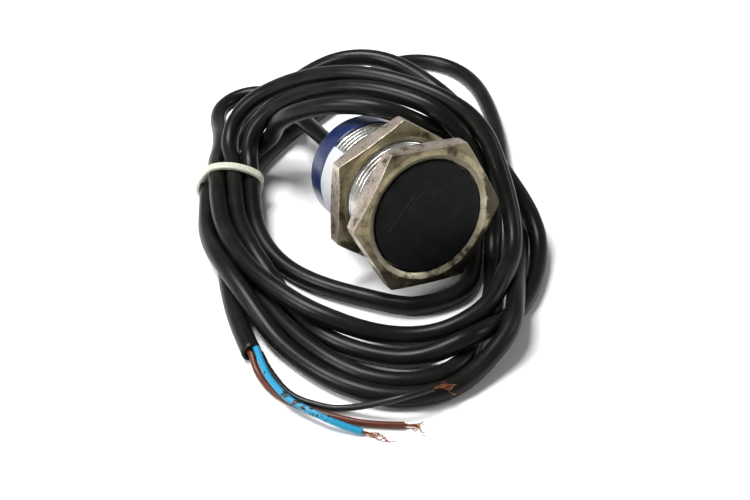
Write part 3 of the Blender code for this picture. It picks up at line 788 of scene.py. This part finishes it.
def cable_tie(turns, look):
    """Ribbed strap round the turns, with its head below them."""
    count = 420
    line, length = band_outline(turns, 0.08, count)
    ahead = np.roll(line, -1, 0) - np.roll(line, 1, 0)
    ahead /= np.linalg.norm(ahead, axis=1)[:, None]
    outward = np.stack([ahead[:, 1], -ahead[:, 0]], 1)
    teeth = round(length / 0.72)
    groove = 0.16 * (0.5 + 0.5 * np.cos(np.arange(count) / count * teeth * 2 * math.pi))
    half, rail = TIE_WIDTH / 2, 0.36
    points = []
    for (across, height), (out_across, out_height), dip in zip(line, outward, groove):
        section = [
            (-half + 0.12, 0), (half - 0.12, 0), (half, 0.12), (half, TIE_THICKNESS - 0.14),
            (half - 0.14, TIE_THICKNESS), (half - rail, TIE_THICKNESS),
            (half - rail - 0.1, TIE_THICKNESS - dip), (-half + rail + 0.1, TIE_THICKNESS - dip),
            (-half + rail, TIE_THICKNESS), (-half + 0.14, TIE_THICKNESS),
            (-half, TIE_THICKNESS - 0.14), (-half, 0.12)]
        for along, out in section:
            place = (np.array((*TIE_CENTRE, 0.0)) + TIE_ALONG * along
                     + TIE_ACROSS * (across + out_across * out))
            place[2] = height + out_height * out
            points.append(place)
    return piece("cable_tie_band", points, grid_faces(count, 12, loop=True), look, "sensor",
                 ("cable_tie_strap",), sharp=50)


def tie_head(look):
    """Locking head under the turns, which the strap runs through from side to side."""
    across, along, height = TIE_HEAD
    bm = bmesh.new()
    bmesh.ops.create_cube(bm, size=1.0)
    bmesh.ops.scale(bm, vec=(across, along, height), verts=bm.verts)
    flanks = [face for face in bm.faces if abs(face.normal.y) > 0.9]
    bmesh.ops.inset_individual(bm, faces=flanks, thickness=0.7, depth=-0.5)
    bmesh.ops.bevel(bm, geom=bm.edges[:], offset=0.22, segments=3, affect="EDGES")
    turn = Matrix.Rotation(math.atan2(TIE_ACROSS[1], TIE_ACROSS[0]), 4, "Z")
    place = Vector((*TIE_CENTRE, height / 2 + 0.1)) + Vector(TIE_ACROSS) * TIE_HEAD_ACROSS
    bm.transform(Matrix.Translation(place) @ turn)
    points = [tuple(v.co) for v in bm.verts]
    faces = [[v.index for v in face.verts] for face in bm.faces]
    bm.free()
    return piece("cable_tie_lock", points, faces, look, "sensor",
                 ("cable_tie_head",), sharp=40)


# ---- the barrel's pieces ---------------------------------------------------------------
def threaded_barrel(look):
    """M30 x 1.5 thread over the whole length of the barrel."""
    sides, per_pitch = 160, 12
    length = BARREL_FRONT - BARREL_REAR
    rows = int(length / THREAD_PITCH * per_pitch)
    height = np.linspace(BARREL_FRONT - 0.02, BARREL_REAR + 0.02, rows)[:, None]
    angle = np.linspace(0, 2 * math.pi, sides, endpoint=False)[None, :]
    phase = (height / THREAD_PITCH + angle / (2 * math.pi)) % 1.0
    rise = np.clip(np.minimum(phase, 1 - phase) * 2 * 1.35 - 0.12, 0, 1)
    radius = THREAD_ROOT + (THREAD_CREST - THREAD_ROOT) * rise
    front_bevel = 14.3 + (BARREL_FRONT - height) * 0.8
    rear_bevel = 14.20 + (height - BARREL_REAR) * 1.2
    radius = np.minimum(radius, np.minimum(front_bevel, rear_bevel))
    radius = np.maximum(radius, THREAD_ROOT + 0.02)
    rings = np.stack([radius * np.cos(angle), radius * np.sin(angle),
                      np.broadcast_to(height, radius.shape)], -1)
    circle = np.stack([np.cos(angle[0]), np.sin(angle[0]), np.zeros(sides)], -1)
    lip = np.array((0.0, 0.0, 1.0))
    closing = [circle * BARREL_BORE + lip * end for end in (BARREL_REAR, BARREL_FRONT)]
    points = np.concatenate([rings, np.stack(closing)]).reshape(-1, 3)
    faces = grid_faces(rows + len(closing), sides, loop=True)
    return piece("threaded_barrel", points, faces, look, "sensor",
                 ("barrel_tube",), BARREL_AXIS, sharp=50)


def hexagon_nut(name, rear_face, turn, look):
    """Thin nut with rounded edges, chamfered corners and a countersunk bore."""
    half = NUT_THICKNESS / 2
    corner = NUT_FLATS / math.sqrt(3)
    middle = rear_face + half
    rows = 360
    points = []
    for row in range(rows):
        from_corner = (row + 0.5) * 2 * math.pi / rows
        from_flat = (from_corner % (math.pi / 3)) - math.pi / 6
        edge = NUT_FLATS / 2 / math.cos(from_flat)
        edge -= 0.10 * math.exp(-((math.pi / 6 - abs(from_flat)) / 0.03) ** 2)
        drop = NUT_CHAMFER_DROP * (edge - NUT_CHAMFER_RADIUS) / (corner - NUT_CHAMFER_RADIUS)
        face_edge = min(NUT_CHAMFER_RADIUS, edge - 0.1)
        mouth = NUT_BORE + COUNTERSINK_WIDTH
        outline = [
            (NUT_BORE, COUNTERSINK_DEPTH - half), (NUT_BORE, half - COUNTERSINK_DEPTH),
            (mouth, half), (face_edge, half), (edge, half - drop), (edge, drop - half),
            (face_edge, -half), (mouth, -half)]
        angle = math.pi / 2 - math.radians(turn) + from_corner
        for radius, height in rounded(outline, 0.13):
            points.append((radius * math.cos(angle), radius * math.sin(angle), height))
    points = np.array(points)
    reach = np.linalg.norm(points[:, :2], axis=1)
    for i, point in enumerate(points):
        if reach[i] > NUT_CHAMFER_RADIUS - 0.6:
            seed = Vector(point) * 0.55 + Vector((0, 0, middle))
            nick = max(0.0, noise.noise(seed) - 0.28) + 0.4 * max(
                0.0, noise.noise(seed * 3.1) - 0.35)
            near_edge = min(1.0, abs(point[2]) / half) ** 6
            points[i, :2] *= 1 - 0.010 * nick * near_edge
            points[i, 2] *= 1 - 0.10 * nick * near_edge
    points[:, 2] += middle
    sides = len(points) // rows
    nut = piece(f"{name}_metal", points, grid_faces(rows, sides, loop=True), look, name,
                (name,), BARREL_AXIS, sharp=60)
    even = nut.modifiers.new("flat_faces", "WEIGHTED_NORMAL")
    even.keep_sharp = True


def sensing_face(look):
    """Cup of black plastic whose floor is the sensing face, very slightly crowned."""
    outline = [
        (0.01, 0.03), (5.0, 0.025), (10.0, 0.01), (14.0, 0.0), (FLANGE_RADIUS - 0.22, -0.04),
        (FLANGE_RADIUS - 0.05, -0.16), (FLANGE_RADIUS, -0.4), (FLANGE_RADIUS, -1.2),
        (13.8, -1.2), (13.8, -8.2), (12.3, -8.2), (12.3, -11.0), (11.6, -11.0),
        (11.6, -7.6), (12.8, -7.6), (12.8, -1.0), (0.01, -1.0)]
    points, faces = spun(outline, 144)
    for i, (x, y, z) in enumerate(points):
        if z > -0.5 and math.hypot(x, y) > 13.7:
            chip = max(0.0, noise.noise(Vector((x, y, 3.0)) * 0.9) - 0.26)
            points[i] *= (1 - 0.03 * chip, 1 - 0.03 * chip, 1.0)
            points[i, 2] -= 0.8 * chip
    return piece("sensing_face_disc", points, faces, look, "sensor",
                 ("sensing_face_cap",), BARREL_AXIS)


def rear_cap(look):
    """Blue end cap with soft shoulders and a boss for the grommet."""
    outline = [
        (13.8, -27.5), (13.8, -31.3), (14.7, -31.3), (CAP_RADIUS, -31.5),
        (CAP_RADIUS, -37.4), (14.5, -38.2), (12.0, -39.8), (6.7, -39.8), (6.2, -42.0),
        (5.0, -42.0), (5.0, -37.6), (10.8, -36.6), (12.9, -35.5), (12.9, -27.5)]
    points, faces = spun(rounded(outline, 0.35), 144)
    return piece("blue_end_cap", points, faces, look, "sensor",
                 ("rear_end_cap",), BARREL_AXIS)


def paper_label(look):
    """Paper strip stuck over the thread, its long edges slightly uneven."""
    front, rear = -19.6, -30.6
    start, end = math.radians(132), math.radians(236)
    rows, across = 90, 24
    outer, inner = [], []
    for i in range(rows + 1):
        angle = start + (end - start) * i / rows
        for k in range(across + 1):
            part = k / across
            edge = 0.25 * noise.noise(Vector((i * 0.09, 4.0 * round(part), 1.7)))
            height = front + (rear - front) * part + edge * (2 * abs(part - 0.5)) ** 4
            ripple = 0.035 * math.cos(2 * math.pi * height / THREAD_PITCH)
            crease = 0.12 * noise.noise(Vector((i * 0.07, part * 2.0, 9.1)))
            radius = 15.13 + ripple + max(0.0, crease)
            for store, reach in ((outer, radius + 0.06), (inner, radius - 0.06)):
                store.append((reach * math.cos(angle), reach * math.sin(angle), height))
    outer = np.array(outer).reshape(rows + 1, across + 1, 3)
    inner = np.array(inner).reshape(rows + 1, across + 1, 3)
    rings = np.concatenate([outer, inner[:, ::-1]], axis=1)
    faces = grid_faces(rows + 1, 2 * (across + 1), ends=True)
    return piece("paper_strip", rings.reshape(-1, 3), faces, look, "sensor",
                 ("marking_label",), BARREL_AXIS, sharp=60)


# ---- pieces kept from the frame --------------------------------------------------------
def dress_kept_nodes():
    """Finishes for the inner pieces and the grommet, whose shapes are right as they are."""
    rubber = soft_plastic("moulded_rubber", (0.014, 0.014, 0.014), (0.024, 0.023, 0.022), 0.55)
    natural = nylon("bobbin_nylon")
    board = soft_plastic("board_lacquer", (0.02, 0.16, 0.06), (0.03, 0.20, 0.08), 0.38)
    chip = soft_plastic("chip_resin", (0.018, 0.018, 0.018), (0.03, 0.03, 0.03), 0.50)
    metal = copper("winding_copper")
    looks = {
        "face_seal_ring": rubber,
        "cable_grommet": rubber,
        "ferrite_core": soft_plastic("ferrite", (0.05, 0.05, 0.05), (0.08, 0.08, 0.08), 0.7),
        "coil_bobbin": natural,
        "coil_winding": metal,
        "circuit_board": board,
        "indicator_board": board,
        "oscillator_chip": chip,
        "output_transistor": chip,
        "tantalum_capacitor": soft_plastic(
            "tantalum", (0.72, 0.46, 0.08), (0.78, 0.52, 0.12), 0.42),
        "filter_capacitor": soft_plastic(
            "ceramic_body", (0.55, 0.42, 0.28), (0.62, 0.50, 0.36), 0.45),
        "potting_plug": soft_plastic("resin", (0.16, 0.10, 0.04), (0.22, 0.15, 0.06), 0.3),
        "crimp_ring": nickel("crimp_steel", (0.60, 0.60, 0.60), (0.50, 0.49, 0.47), -0.1, 0.2),
        "brown_inner_lead": wire_insulation("brown_inner", (0.105, 0.026, 0.010), 0.0),
        "blue_inner_lead": wire_insulation("blue_inner", (0.016, 0.28, 0.48), 0.0),
        "black_inner_lead": wire_insulation("black_inner", (0.010, 0.009, 0.009), 0.0),
    }
    lens = soft_plastic("lamp_lens", (0.75, 0.62, 0.30), (0.80, 0.68, 0.36), 0.18)
    for number in range(4):
        looks[f"indicator_lamp_{number + 1}"] = lens
    for number in range(3):
        looks[f"resistor_{number + 1}"] = chip
    for name, look in looks.items():
        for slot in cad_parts[name].material_slots:
            slot.material = look


def main():
    camera()
    studio()
    floor()

    jacket, centre = cable(cable_jacket("black_jacket"))
    turns = turns_in_tie(centre)
    natural = nylon("natural_nylon")
    strap = cable_tie(turns, natural)
    head = tie_head(natural)
    conductors = wires()
    length = np.linalg.norm(np.diff(centre, axis=0), axis=1).sum()
    for wire, line, strands in conductors:
        run = np.linalg.norm(np.diff(line, axis=0), axis=1).sum()

    threaded_barrel(nickel("thread_nickel", (0.86, 0.86, 0.85), (0.60, 0.57, 0.50), 0.04, 0.20))
    # Nickel with real stains and pits, with painted shade on its faces and lower part and painted light
    # on its chamfers.
    worn_and_shaded_nickel = nut_metal("nut_nickel")
    hexagon_nut("front_nut", *FRONT_NUT, worn_and_shaded_nickel)
    hexagon_nut("rear_nut", *REAR_NUT, worn_and_shaded_nickel)
    sensing_face(face_plastic("sensing_face_black"))
    rear_cap(soft_plastic("blue_cap_plastic", (0.007, 0.014, 0.058), (0.011, 0.021, 0.078), 0.26,
                          Coat_Weight=0.15, Coat_Roughness=0.15))
    paper_label(paper("label_paper_worn"))
    dress_kept_nodes()


main()
